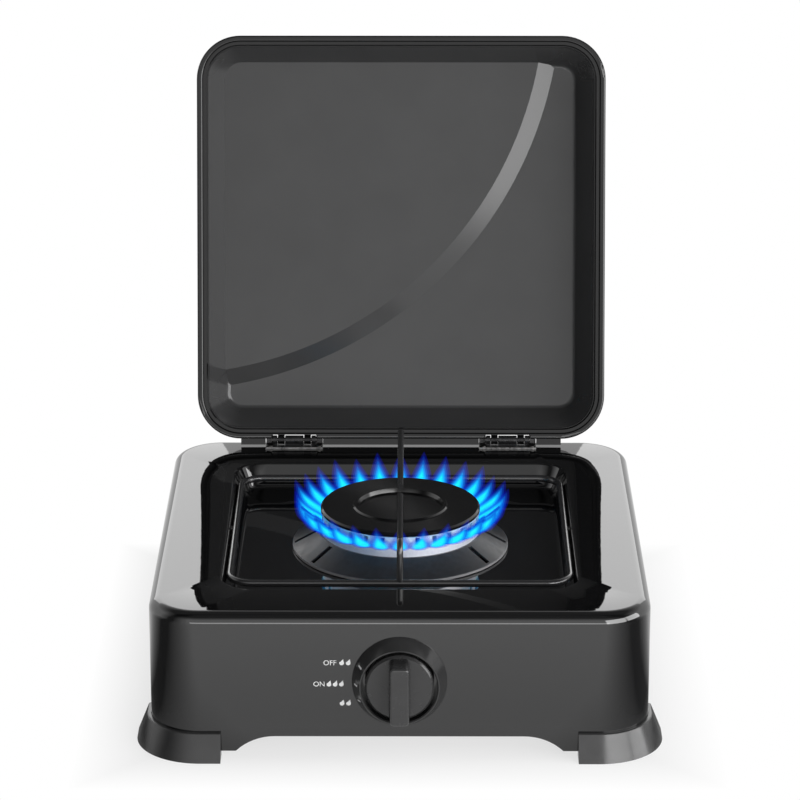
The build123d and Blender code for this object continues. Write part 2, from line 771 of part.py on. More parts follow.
# Knob: a hollow dial with a bar grip and a hub on the stem's flat
with BuildPart() as knob:
    with BuildSketch(valve_section):
        with BuildLine():
            Polyline(
                (-knob_back_gap, 0),
                (-knob_back_gap, knob_hub),
                (-knob_face + knob_wall, knob_hub),
                (-knob_face + knob_wall, knob_radius - knob_wall),
                (-knob_back_gap, knob_radius - knob_wall),
                (-knob_back_gap, knob_radius),
                (-knob_face + knob_edge, knob_radius),
                (-knob_face, knob_radius - knob_edge),
                (-knob_face, 0),
                close=True,
            )
        make_face()
    revolve(axis=valve_axis)
    with BuildSketch(valve_station(-knob_face)):
        RectangleRounded(grip_width, grip_length, grip_width / 4)
    extrude(amount=-(knob_reach - knob_face), taper=3)
    fillet(knob.faces().sort_by(Axis.Y)[0].edges(), grip_edge)
    with BuildSketch(valve_station(-knob_back_gap)):
        Circle(stem_radius + screw_fit)
        with Locations((0, -stem_radius - screw_fit)):
            Rectangle(3 * stem_radius, 2 * (stem_radius - stem_flat), mode=Mode.SUBTRACT)
    extrude(amount=stem_front + knob_back_gap - screw_fit, mode=Mode.SUBTRACT)

# Ring round the knob, flat on the front wall
with BuildPart() as knob_ring:
    with BuildSketch(valve_section):
        with BuildLine():
            Polyline(
                (0, ring_bore),
                (-ring_rise + ring_edge, ring_bore),
                (-ring_rise, ring_bore + ring_edge),
                (-ring_rise, ring_front_radius),
                (-ring_edge, ring_radius),
                (0, ring_radius),
                close=True,
            )
        make_face()
    revolve(axis=valve_axis)

# Gas pipe from the rear inlet to the valve's side boss
pipe_y = front_y + boss_station
pipe_end = rear_y - sheet - inlet_collar_length + socket_depth
with BuildPart() as gas_pipe:
    with BuildLine(Plane((0, 0, valve_height))) as pipe_path:
        FilletPolyline((boss_end, pipe_y), (inlet_x, pipe_y), (inlet_x, pipe_end), radius=pipe_bend)
    with BuildSketch(Plane(pipe_path.line @ 0, z_dir=pipe_path.line % 0)):
        Circle(pipe_radius)
        Circle(pipe_radius - pipe_wall, mode=Mode.SUBTRACT)
    sweep(path=pipe_path.line)

# Union nut on the valve's boss
with BuildPart() as pipe_nut:
    with BuildSketch(Plane((boss_end - nut_lap, pipe_y, valve_height), x_dir=(0, 1, 0), z_dir=(1, 0, 0))):
        RegularPolygon(nut_hex / 2, 6, major_radius=False)
        Circle(pipe_radius + fitting_fit, mode=Mode.SUBTRACT)
    extrude(amount=nut_length)
    with BuildSketch(Plane((boss_end - nut_lap, pipe_y, valve_height), x_dir=(0, 1, 0), z_dir=(1, 0, 0))):
        Circle(port_boss_radius + fitting_fit)
    extrude(amount=nut_lap + fitting_fit, mode=Mode.SUBTRACT)

# Inlet: a collar inside the rear wall, a threaded neck through it and a plain hose spigot behind
with BuildPart() as inlet_nipple:
    with BuildSketch(inlet_section):
        with BuildLine():
            neck = inlet_thread_length
            tip = neck + inlet_spigot_length
            socket_floor = -sheet - inlet_collar_length + socket_depth + fitting_fit
            Polyline(
                (-sheet - inlet_collar_length, pipe_radius + fitting_fit),
                (-sheet - inlet_collar_length, inlet_collar),
                (-sheet, inlet_collar),
                (-sheet, inlet_thread),
                (neck, inlet_thread),
                (neck, inlet_spigot),
                (tip - spigot_tip, inlet_spigot),
                (tip, inlet_spigot - spigot_tip),
                (tip, inlet_bore),
                (socket_floor, inlet_bore),
                (socket_floor, pipe_radius + fitting_fit),
                close=True,
            )
        make_face()
    revolve(axis=inlet_axis)

with BuildPart() as inlet_nut:
    with BuildSketch(Plane((inlet_x, rear_y, valve_height), x_dir=(1, 0, 0), z_dir=(0, 1, 0))):
        RegularPolygon(nut_hex / 2, 6, major_radius=False)
        Circle(inlet_thread + fitting_fit, mode=Mode.SUBTRACT)
    extrude(amount=inlet_nut_thick)


# Lid: drawn tray whose panel has a shallow part up to an arc and a deeper part past it
deep_back = deep + lid_sheet
step_slope = step_run / lid_step
step_half = degrees(atan2(lid_step, step_run)) / 2


def step_cone(inner_radius, low, high):
    """Round block inside the panel's arc; its side follows the sloped step."""
    reach = lid_edge_gap + lid_length + step_centre_above
    centre = lid_plane.from_local_coords((-step_centre_left, -reach, 0))
    section = Plane(centre, x_dir=(1, 0, 0), z_dir=lid_plane.y_dir * -1)
    with BuildPart() as block:
        with BuildSketch(section):
            with BuildLine():
                Polyline(
                    (0, low),
                    (inner_radius, low),
                    (inner_radius + (high - low) * step_slope, high),
                    (0, high),
                    close=True,
                )
            make_face()
        revolve(axis=Axis(centre, lid_plane.z_dir))
    return block.part


def lid_outline(inset):
    """Lid outline, inset from its outer edge."""
    RectangleRounded(lid_width - 2 * inset, lid_length - 2 * inset, lid_corner - inset)


with BuildPart() as lid_void:
    with BuildSketch(lid_level(-rim_front)):
        lid_outline(tray_inset + lid_sheet / cos(tray_draft))
    extrude(amount=deep + rim_front, taper=lid_draft)
    panel_face = lid_void.faces().sort_by(Axis((0, 0, 0), lid_plane.z_dir))[-1]
    fillet(panel_face.edges(), lid_panel_round - lid_sheet)
    add(step_cone(step_radius - step_run / 2, lid_shallow, deep + lid_sheet), mode=Mode.SUBTRACT)

with BuildPart() as lid_bead:
    with BuildSketch(lid_level(-rim_front)):
        lid_outline(0)
    extrude(amount=rim_depth)
    with BuildSketch(lid_level(-rim_front)):
        lid_outline(rim_width)
    extrude(amount=rim_depth, mode=Mode.SUBTRACT)
    faces = lid_bead.faces().filter_by(Plane(lid_plane.origin, z_dir=lid_plane.z_dir))
    fillet(faces.edges(), rim_round)

rim_back = rim_depth - rim_front
knuckle_span = knuckle_centre / 2 + knuckle_gap + knuckle_lid + knuckle_gap + knuckle_end
with BuildPart() as lid_panel:
    with BuildSketch(lid_level(-rim_front)):
        lid_outline(tray_inset)
    extrude(amount=deep_back + rim_front, taper=lid_draft)
    fillet(lid_panel.faces().sort_by(Axis((0, 0, 0), lid_plane.z_dir))[-1].edges(), lid_panel_round)
    step_back = step_radius - step_run / 2 - lid_sheet * tan(radians(step_half))
    add(step_cone(step_back, lid_shallow + lid_sheet, deep_back + lid_sheet), mode=Mode.SUBTRACT)
    add(lid_void.part, mode=Mode.SUBTRACT)
    # Web from the wall to the rolled bead
    with BuildSketch(lid_level(rim_back - lid_sheet)):
        lid_outline(rim_width - rim_round)
    web_inset = tray_inset + rim_depth * tan(tray_draft) + lid_sheet / 2
    extrude(amount=lid_sheet)
    with BuildSketch(lid_level(rim_back - lid_sheet)):
        lid_outline(web_inset)
    extrude(amount=lid_sheet, mode=Mode.SUBTRACT)
    add(lid_bead.part)
    # Drip edge from the bead down to the hob, open at the hinges
    drip_reach = hinge_rise - drip_clear
    drip_height = drip_reach + lid_edge_gap + rim_width / 2
    drip_middle = lid_middle + drip_reach - drip_height / 2
    with BuildSketch(lid_level(0)):
        with Locations((0, drip_middle)):
            Rectangle(lid_width - 2 * lid_corner, drip_height)
            with GridLocations(hinge_spacing, 0, 2, 1):
                Rectangle(hinge_width + 2 * drip_clear, drip_height, mode=Mode.SUBTRACT)
    extrude(amount=lid_sheet)
    # Notches round the knuckles
    notch_depth = barrel_radius + notch_gap
    for side in (-1, 1):
        with BuildSketch(lid_level(-2 * rim_front)):
            with Locations((side * hinge_spacing / 2, lid_middle)):
                Rectangle(2 * (knuckle_span + pin_head_length + notch_gap), 2 * notch_depth)
        extrude(amount=rim_depth + 2 * rim_front, mode=Mode.SUBTRACT)


def hinge_section(x):
    """Plane square to the hinge axis: local x runs back and local y up."""
    return Plane((x, hinge_y, hinge_z), x_dir=(0, 1, 0), z_dir=(1, 0, 0))


def lid_section(x):
    """Plane square to the hinge axis: local x runs along the lid and local y out from its rim."""
    return Plane((x, hinge_y, hinge_z), x_dir=(0, sin(lid_turn), cos(lid_turn)), z_dir=(-1, 0, 0))


strap_low = rim_back + strap_gap
strap_high = strap_low + strap_sheet
lid_knuckle_x = (knuckle_centre + knuckle_lid) / 2 + knuckle_gap
end_knuckle_x = knuckle_span - knuckle_end / 2


def body_leaf(side):
    """Hinge leaf on the hob top, with fixed knuckles and two leaning stops for the lid."""
    x = side * hinge_spacing / 2
    knuckles = [(0, knuckle_centre), (-end_knuckle_x, knuckle_end), (end_knuckle_x, knuckle_end)]
    with BuildPart() as leaf:
        with BuildSketch(Plane((x, hinge_y + (leaf_rear - leaf_front) / 2, hob_height))):
            Rectangle(hinge_width, leaf_front + leaf_rear)
        extrude(amount=leaf_sheet)
        for offset, width in knuckles:
            with BuildSketch(hinge_section(x + offset)):
                Circle(barrel_radius)
                with Locations((0, -hinge_rise / 2)):
                    Rectangle(2 * knuckle_web, hinge_rise)
            extrude(amount=width / 2, both=True)
        stop_face = strap_high + stop_gap
        stop_back = stop_face + stop_sheet
        foot_drop = hinge_rise - leaf_sheet / 2
        feet = [(edge * sin(lid_turn) - foot_drop) / cos(lid_turn) for edge in (stop_face, stop_back)]
        for end in (-1, 1):
            with BuildSketch(lid_section(x + end * (hinge_width - stop_width) / 2)):
                with BuildLine():
                    Polyline(
                        (feet[0], stop_face),
                        (stop_rise, stop_face),
                        (stop_rise, stop_back),
                        (feet[1], stop_back),
                        close=True,
                    )
                make_face()
            extrude(amount=stop_width / 2, both=True)
        with BuildSketch(hinge_section(x)):
            Circle(hinge_pin_radius + pin_fit)
        extrude(amount=hinge_width, both=True, mode=Mode.SUBTRACT)
        with BuildSketch(Plane((x, hinge_y - rivet_set, hob_height))):
            with GridLocations(rivet_pitch, 0, 2, 1):
                Circle(rivet_radius + screw_fit)
        extrude(amount=leaf_sheet, mode=Mode.SUBTRACT)
    return leaf.part


def lid_leaf(side):
    """Hinge leaf on the lid: two knuckles, tongues to a strap behind the rim and up the tray's wall."""
    x = side * hinge_spacing / 2
    wall_low = lid_edge_gap + tray_inset + rim_front * tan(tray_draft) - strap_gap / cos(tray_draft)
    wall = [wall_low + w * tan(tray_draft) for w in (strap_low, strap_reach, strap_high)]
    skin = strap_sheet / cos(tray_draft)
    with BuildPart() as leaf:
        with BuildSketch(lid_section(x)):
            with BuildLine():
                Polyline(
                    (strap_root, strap_low),
                    (wall[0], strap_low),
                    (wall[1], strap_reach),
                    (wall[1] - skin, strap_reach),
                    (wall[2] - skin, strap_high),
                    (strap_root, strap_high),
                    close=True,
                )
            make_face()
        extrude(amount=hinge_width / 2, both=True)
        for end in (-1, 1):
            with BuildSketch(lid_section(x + end * lid_knuckle_x)):
                Circle(barrel_radius)
                with Locations((strap_root / 2 + strap_sheet / 4, (strap_low + strap_high) / 2)):
                    Rectangle(strap_root + strap_sheet / 2, strap_sheet)
            extrude(amount=knuckle_lid / 2, both=True)
        with BuildSketch(hinge_section(x)):
            Circle(hinge_pin_radius + pin_fit)
        extrude(amount=hinge_width, both=True, mode=Mode.SUBTRACT)
    return leaf.part


def hinge_pin(side):
    """Pin through the knuckles, headed at both ends."""
    x = side * hinge_spacing / 2
    with BuildPart() as pin:
        with BuildSketch(hinge_section(x)):
            Circle(hinge_pin_radius)
        extrude(amount=knuckle_span + pin_head_length, both=True)
        for end in (-1, 1):
            with BuildSketch(hinge_section(x + end * (knuckle_span + pin_head_length / 2))):
                Circle(pin_head)
            extrude(amount=pin_head_length / 2, both=True)
    return pin.part


hinge_left_body_leaf = body_leaf(-1)
hinge_right_body_leaf = body_leaf(1)
hinge_left_lid_leaf = lid_leaf(-1)
hinge_right_lid_leaf = lid_leaf(1)
hinge_left_pin = hinge_pin(-1)
hinge_right_pin = hinge_pin(1)

# Rivets that hold the body leaves to the top
with BuildPart() as hinge_rivets:
    rivets = [(0, rivet_radius, -(sheet + rivet_tail)), (leaf_sheet, rivet_head, rivet_head_height)]
    rivets += [(leaf_sheet, rivet_radius, -leaf_sheet), (-sheet, rivet_head, -rivet_tail)]
    for height, radius, run in rivets:
        with BuildSketch(Plane((0, hinge_y - rivet_set, hob_height + height))):
            with GridLocations(hinge_spacing, 0, 2, 1):
                with GridLocations(rivet_pitch, 0, 2, 1):
                    Circle(radius)
        extrude(amount=run)

# Files
pieces = {
    "body_shell": body_shell.part,
    "foot_front_left": foot_front_left,
    "foot_front_right": foot_front_right,
    "foot_rear_left": foot_rear_left,
    "foot_rear_right": foot_rear_right,
    "foot_screws": foot_screws.part,
    "pan_support": pan_support.part,
    "burner_bowl": burner_bowl.part,
    "burner_screws": burner_screws.part,
    "burner_skirt": burner_skirt.part,
    "burner_crown": burner_crown.part,
    "burner_cap": burner_cap.part,
    "mixing_tube": mixing_tube.part,
    "injector": injector.part,
    "valve_body": valve_body.part,
    "valve_cover": valve_cover.part,
    "valve_screws": valve_screws.part,
    "gas_plug": gas_plug.part,
    "valve_stem": valve_stem.part,
    "valve_spring": valve_spring.part,
    "knob": knob.part,
    "knob_ring": knob_ring.part,
    "gas_pipe": gas_pipe.part,
    "pipe_nut": pipe_nut.part,
    "inlet_nipple": inlet_nipple.part,
    "inlet_nut": inlet_nut.part,
    "hinge_left_body_leaf": hinge_left_body_leaf,
    "hinge_right_body_leaf": hinge_right_body_leaf,
    "hinge_left_pin": hinge_left_pin,
    "hinge_right_pin": hinge_right_pin,
    "hinge_rivets": hinge_rivets.part,
    "lid_panel": lid_panel.part,
    "hinge_left_lid_leaf": hinge_left_lid_leaf,
    "hinge_right_lid_leaf": hinge_right_lid_leaf,
}
os.makedirs("parts", exist_ok=True)
for name, piece in pieces.items():
    piece.label = name
    export_step(piece, f"parts/{name}.step")
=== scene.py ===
from math import cos, pi, radians, sin, sqrt

import bpy
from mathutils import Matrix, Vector


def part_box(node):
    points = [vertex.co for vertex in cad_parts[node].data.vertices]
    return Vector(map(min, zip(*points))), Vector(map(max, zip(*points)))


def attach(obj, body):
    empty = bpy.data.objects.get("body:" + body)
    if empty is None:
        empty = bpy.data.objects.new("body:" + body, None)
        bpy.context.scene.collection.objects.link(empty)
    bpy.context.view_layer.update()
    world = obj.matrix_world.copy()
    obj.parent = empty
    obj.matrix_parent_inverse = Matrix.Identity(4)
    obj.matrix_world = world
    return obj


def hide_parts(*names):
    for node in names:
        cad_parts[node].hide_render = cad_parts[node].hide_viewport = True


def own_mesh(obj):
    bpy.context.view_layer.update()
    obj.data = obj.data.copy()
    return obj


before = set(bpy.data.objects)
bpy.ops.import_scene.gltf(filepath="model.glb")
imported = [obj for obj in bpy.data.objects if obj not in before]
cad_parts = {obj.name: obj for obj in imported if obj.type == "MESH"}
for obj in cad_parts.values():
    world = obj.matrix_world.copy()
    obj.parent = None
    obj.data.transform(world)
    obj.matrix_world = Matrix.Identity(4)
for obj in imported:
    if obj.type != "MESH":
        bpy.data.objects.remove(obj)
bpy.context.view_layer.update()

bl_info = {
    "name": "Tabletop stove",
    "version": (1, 0, 0),
    "blender": (4, 5, 0),
    "location": "View3D > Sidebar > Stove",
    "description": "Finishes a single-burner tabletop stove, lights its burner and sets it on a white stage",
    "category": "Object",
}

# Places read from the frame, in metres
SHELL_LOW, SHELL_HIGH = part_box("body_shell")
CAP_LOW, CAP_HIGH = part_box("burner_cap")
RING_LOW, RING_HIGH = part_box("knob_ring")
LEAF_LOW, LEAF_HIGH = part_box("hinge_left_body_leaf")
LID_LOW, LID_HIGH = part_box("lid_panel")
CROWN_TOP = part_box("burner_crown")[1].z
SKIRT_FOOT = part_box("burner_skirt")[0].z
BODY_Y = (SHELL_LOW.y + SHELL_HIGH.y) / 2
FRONT_Y = SHELL_LOW.y
HOB_Z = SHELL_HIGH.z
BURNER_Y = (CAP_LOW.y + CAP_HIGH.y) / 2
CAP_RADIUS = (CAP_HIGH.x - CAP_LOW.x) / 2
KNOB_Z = (RING_LOW.z + RING_HIGH.z) / 2
RING_RADIUS = (RING_HIGH.x - RING_LOW.x) / 2
RING_RISE = RING_HIGH.y - RING_LOW.y

# The open lid leans back, and a depth in its tray counts from just behind the front of its rim
LID_LEAN = radians(15)
LID_BACK = Vector((0, cos(LID_LEAN), -sin(LID_LEAN)))
LID_FACE = LID_LOW.y * cos(LID_LEAN) - LID_LOW.z * sin(LID_LEAN)

# Printed rows left of the knob: word, its start, height over the knob's axis, places of the flame signs
PRINTED_ROWS = (
    ("OFF", -0.0407, 0.0105, (-0.0309, -0.0274)),
    ("ON", -0.0462, -0.0018, (-0.0377, -0.0344, -0.0311)),
    ("", 0.0, -0.0129, (-0.0308, -0.0273)),
)

# Places of the ticks on the ring, in degrees anticlockwise from its right
TICK_BEARINGS = (154.0, 180.0, 203.0)

# The part of a noise's range that its features lie in
NOISE_LOW, NOISE_HIGH = 0.3, 0.7


# Helpers for modelling


def clear_selection():
    """Leave edit mode and deselect everything, the frame's own nodes too."""
    if bpy.context.object and bpy.context.object.mode != "OBJECT":
        bpy.ops.object.mode_set(mode="OBJECT")
    bpy.ops.object.select_all(action="DESELECT")


def select_only(piece):
    clear_selection()
    piece.select_set(True)
    bpy.context.view_layer.objects.active = piece


def pick_points(piece, wanted):
    """In edit mode, select only the points whose place answers to the test."""
    bpy.ops.mesh.select_all(action="DESELECT")
    bpy.ops.object.mode_set(mode="OBJECT")
    for point in piece.data.vertices:
        point.select = wanted(point.co)
    bpy.ops.object.mode_set(mode="EDIT")


def settle(piece, body, material):
    """Put the piece's place into its mesh, give it its finish and let it ride on a body."""
    select_only(piece)
    bpy.ops.object.transform_apply(location=True, rotation=True, scale=True)
    if material:
        piece.data.materials.clear()
        piece.data.materials.append(material)
    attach(piece, body)


def copy_piece(piece, name):
    """A copy with its own mesh."""
    select_only(piece)
    bpy.ops.object.duplicate(linked=False)
    twin = bpy.context.object
    twin.name = name
    twin.data.name = name
    return twin


def smooth_twin(node, name):
    """A merged, smoothly shaded copy of a CAD node, which stands for it."""
    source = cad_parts[node]
    clear_selection()
    piece = bpy.data.objects.new(name, source.data.copy())
    bpy.context.scene.collection.objects.link(piece)
    select_only(piece)
    bpy.ops.mesh.customdata_custom_splitnormals_clear()
    bpy.ops.object.mode_set(mode="EDIT")
    bpy.ops.mesh.select_all(action="SELECT")
    bpy.ops.mesh.remove_doubles(threshold=0.000002)
    bpy.ops.object.mode_set(mode="OBJECT")
    bpy.ops.object.shade_smooth_by_angle(angle=radians(24))
    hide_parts(node)
    return piece


def coat(node, material):
    """Give a CAD node its finish."""
    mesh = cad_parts[node].data
    mesh.materials.clear()
    mesh.materials.append(material)


# Helpers for finishes


def surface(name):
    """A new material with its shader and the object's own coordinates."""
    material = bpy.data.materials.new(name)
    material.use_nodes = True
    nodes = material.node_tree.nodes
    shader = nodes["Principled BSDF"]
    coords = nodes.new("ShaderNodeTexCoord")
    return material, shader, coords.outputs["Object"]


def bare_surface(name):
    """A new material that blends two shaders, with its nodes and the blend."""
    material = bpy.data.materials.new(name)
    material.use_nodes = True
    nodes = material.node_tree.nodes
    nodes.clear()
    out = nodes.new("ShaderNodeOutputMaterial")
    mix = nodes.new("ShaderNodeMixShader")
    link(material, mix.outputs["Shader"], out.inputs["Surface"])
    return material, nodes, mix


def link(material, start, end):
    material.node_tree.links.new(start, end)


def cloud(material, place, size, detail=3.0):
    """Soft noise with features of a given size in metres."""
    noise = material.node_tree.nodes.new("ShaderNodeTexNoise")
    noise.inputs["Scale"].default_value = 1 / size
    noise.inputs["Detail"].default_value = detail
    link(material, place, noise.inputs["Vector"])
    return noise.outputs["Fac"]


def between(material, value, low, high, start=0.0, end=1.0):
    """A value mapped from one range to another, kept inside it."""
    node = material.node_tree.nodes.new("ShaderNodeMapRange")
    node.inputs["From Min"].default_value = low
    node.inputs["From Max"].default_value = high
    node.inputs["To Min"].default_value = start
    node.inputs["To Max"].default_value = end
    link(material, value, node.inputs["Value"])
    return node.outputs["Result"]


def connect(material, socket, value):
    """Feed a socket from another one, or set it to a number or a colour."""
    if isinstance(value, bpy.types.NodeSocket):
        link(material, value, socket)
    else:
        socket.default_value = value


def blend_colours(material, share, first, second):
    node = material.node_tree.nodes.new("ShaderNodeMix")
    node.data_type = "RGBA"
    link(material, share, node.inputs["Factor"])
    for socket, colour in ((node.inputs[6], first), (node.inputs[7], second)):
        if not isinstance(colour, bpy.types.NodeSocket):
            colour = (*colour, 1)
        connect(material, socket, colour)
    return node.outputs[2]


def blend_values(material, share, first, second):
    node = material.node_tree.nodes.new("ShaderNodeMix")
    link(material, share, node.inputs["Factor"])
    connect(material, node.inputs[2], first)
    connect(material, node.inputs[3], second)
    return node.outputs[0]


def parts_of(material, place):
    node = material.node_tree.nodes.new("ShaderNodeSeparateXYZ")
    link(material, place, node.inputs["Vector"])
    return node.outputs


def work_out(material, step, *values):
    """One sum on values or numbers."""
    node = material.node_tree.nodes.new("ShaderNodeMath")
    node.operation = step
    for socket, value in zip(node.inputs, values):
        connect(material, socket, value)
    return node.outputs["Value"]


def roughen(material, shader, value, height, strength):
    """Relief from a value, with its depth in metres."""
    node = material.node_tree.nodes.new("ShaderNodeBump")
    node.inputs["Strength"].default_value = strength
    node.inputs["Distance"].default_value = height
    link(material, value, node.inputs["Height"])
    link(material, node.outputs["Normal"], shader.inputs["Normal"])


def peel(material, shader, place, height, strength):
    """The faint orange peel of enamel."""
    roughen(material, shader, cloud(material, place, size=0.006, detail=1.0), height, strength)


def shade(colour, share):
    return tuple(min(1.0, part * share) for part in colour)


def drifting(material, value, colour, spread):
    """A colour that drifts along a value, a little round its written one."""
    node = material.node_tree.nodes.new("ShaderNodeValToRGB")
    first, second = node.color_ramp.elements
    first.position, second.position = NOISE_LOW, NOISE_HIGH
    first.color = (*shade(colour, 1 - spread), 1)
    second.color = (*shade(colour, 1 + spread), 1)
    link(material, value, node.inputs["Fac"])
    return node.outputs["Color"]


def mottle(material, shader, value, colour, spread):
    link(material, drifting(material, value, colour, spread), shader.inputs["Base Color"])


def dull(material, shader, value, smooth, rough):
    """Roughness that drifts along a value."""
    roughness = between(material, value, NOISE_LOW, NOISE_HIGH, smooth, rough)
    link(material, roughness, shader.inputs["Roughness"])


def enamel_finish(name, colour, roughness):
    """Vitreous enamel: deep gloss with a faint orange peel and a few dull patches."""
    material, shader, place = surface(name)
    mottle(material, shader, cloud(material, place, size=0.03), colour, spread=0.06)
    patches = cloud(material, place, size=0.055, detail=4.0)
    gloss = between(material, patches, 0.35, 0.75, roughness * 0.92, roughness * 1.1)
    link(material, gloss, shader.inputs["Roughness"])
    shader.inputs["IOR"].default_value = 1.75
    peel(material, shader, place, height=0.00008, strength=0.12)
    return material


def moulded_finish(name, colour, roughness):
    """Moulded plastic: satin, with a fine spark-eroded grain."""
    material, shader, place = surface(name)
    mottle(material, shader, cloud(material, place, size=0.02), colour, spread=0.12)
    dull(material, shader, cloud(material, place, size=0.004), roughness * 0.85, roughness * 1.15)
    shader.inputs["IOR"].default_value = 1.55
    grain = cloud(material, place, size=0.0006, detail=2.0)
    roughen(material, shader, grain, height=0.00005, strength=0.25)
    return material


def metal_finish(name, colour, roughness, grain=0.002):
    """Bare metal with tooling marks."""
    material, shader, place = surface(name)
    marks = cloud(material, place, size=grain, detail=4.0)
    mottle(material, shader, marks, colour, spread=0.12)
    dull(material, shader, marks, roughness * 0.7, roughness * 1.3)
    shader.inputs["Metallic"].default_value = 1.0
    roughen(material, shader, marks, height=0.00004, strength=0.3)
    return material


# Settings


def colour_setting(label, text, value):
    return bpy.props.FloatVectorProperty(
        name=label, description=text, default=value, size=3, min=0.0, max=1.0, subtype="COLOR"
    )


def length_setting(label, text, value):
    return bpy.props.FloatProperty(
        name=label, description=text, default=value, min=0.0, max=5.0,
        subtype="DISTANCE", unit="LENGTH", precision=5,
    )


def share_setting(label, text, value):
    return bpy.props.FloatProperty(
        name=label, description=text, default=value, min=0.0, max=1.0, subtype="FACTOR"
    )


def angle_setting(label, text, value):
    return bpy.props.FloatProperty(
        name=label, description=text, default=radians(value), subtype="ANGLE", unit="ROTATION"
    )


def count_setting(label, text, value, low, high):
    return bpy.props.IntProperty(name=label, description=text, default=value, min=low, max=high)


class StoveFinishes(bpy.types.PropertyGroup):
    """Colours and gloss of the stove's surfaces"""

    body: colour_setting("Body enamel", "Colour of the enamelled body", (0.005, 0.005, 0.0053))
    body_gloss: share_setting("Body roughness", "Roughness of the body's enamel", 0.03)
    lid: colour_setting("Lid enamel", "Colour of the lid inside and out", (0.045, 0.045, 0.0455))
    lid_gloss: share_setting("Lid roughness", "Roughness of the lid's enamel", 0.18)
    plastic: colour_setting("Plastic", "Colour of the feet, knob and ring", (0.028, 0.028, 0.0285))
    wire: colour_setting("Wire", "Colour of the enamelled pan support", (0.02, 0.02, 0.021))
    aluminium: colour_setting("Aluminium", "Colour of the burner's crown and bowl", (0.86, 0.85, 0.88))
    skirt: colour_setting("Skirt", "Colour of the burner's skirt", (0.026, 0.026, 0.0265))
    steel: colour_setting("Steel", "Colour of tubes, screws and pins", (0.58, 0.57, 0.56))
    hinge: colour_setting("Hinge", "Colour of the blackened hinges", (0.03, 0.03, 0.031))
    brass: colour_setting("Brass", "Colour of the turned fittings", (0.74, 0.53, 0.24))
    print: colour_setting("Print", "Colour of the printed marks", (0.86, 0.86, 0.86))


class StoveFlames(bpy.types.PropertyGroup):
    """The ring of flames round the burner"""

    lit: bpy.props.BoolProperty(name="Lit", description="Show the flames", default=True)
    count: count_setting("Count", "Number of flames, one for each port", 28, 3, 60)
    layers: count_setting("Layers", "Shells that a flame is made of", 6, 2, 8)
    root: length_setting("Root", "Depth of a flame's root under the crown's edge", 0.0065)
    rise: length_setting("Rise", "Height of a flame over its port", 0.02)
    reach: length_setting("Reach", "How far a flame leans outwards", 0.0185)
    width: length_setting("Width", "Width that a flame's layers are worked out from", 0.0102)
    mantle: colour_setting("Mantle", "Colour of the outer flame", (0.003, 0.015, 0.85))
    core: colour_setting("Core", "Colour of the inner flame", (0.015, 0.92, 1.0))


class StoveMarks(bpy.types.PropertyGroup):
    """Printed marks beside the knob"""

    letter: length_setting("Letter height", "Height of the printed letters", 0.0028)
    flame: length_setting("Flame height", "Height of a printed flame", 0.0035)
    film: length_setting("Film", "Thickness of the print", 0.00006)
    tick: length_setting("Tick length", "Length of the ticks on the ring", 0.0036)


class StoveStage(bpy.types.PropertyGroup):
    """Camera, floor and lights"""

    distance: length_setting("Distance", "Camera's distance from the stove", 1.9726)
    height: length_setting("Aim height", "Height of the point that the camera looks at", 0.1559)
    pitch: angle_setting("Pitch", "Angle at which the camera looks down", 19.04)
    turn: angle_setting("Turn", "Angle at which the camera looks across", -0.169)
    lens: bpy.props.FloatProperty(
        name="Lens", description="Focal length", default=158.4, subtype="DISTANCE_CAMERA"
    )
    floor: colour_setting("Floor", "Colour of the floor", (0.9, 0.9, 0.9))
    shadow: length_setting("Shadow", "How far the stove's shadow shows round it", 0.04)


# Operators, one for each group of pieces


class STOVE_OT_body(bpy.types.Operator):
    """Enamel the drawn body shell"""

    bl_idname = "stove.body"
    bl_label = "Body shell"

    def execute(self, context):
        finishes = context.scene.stove_finishes
        material = enamel_finish("body_enamel", finishes.body, finishes.body_gloss)
        shell = smooth_twin("body_shell", "body_skin")
        settle(shell, "stove", material)
        return {"FINISHED"}


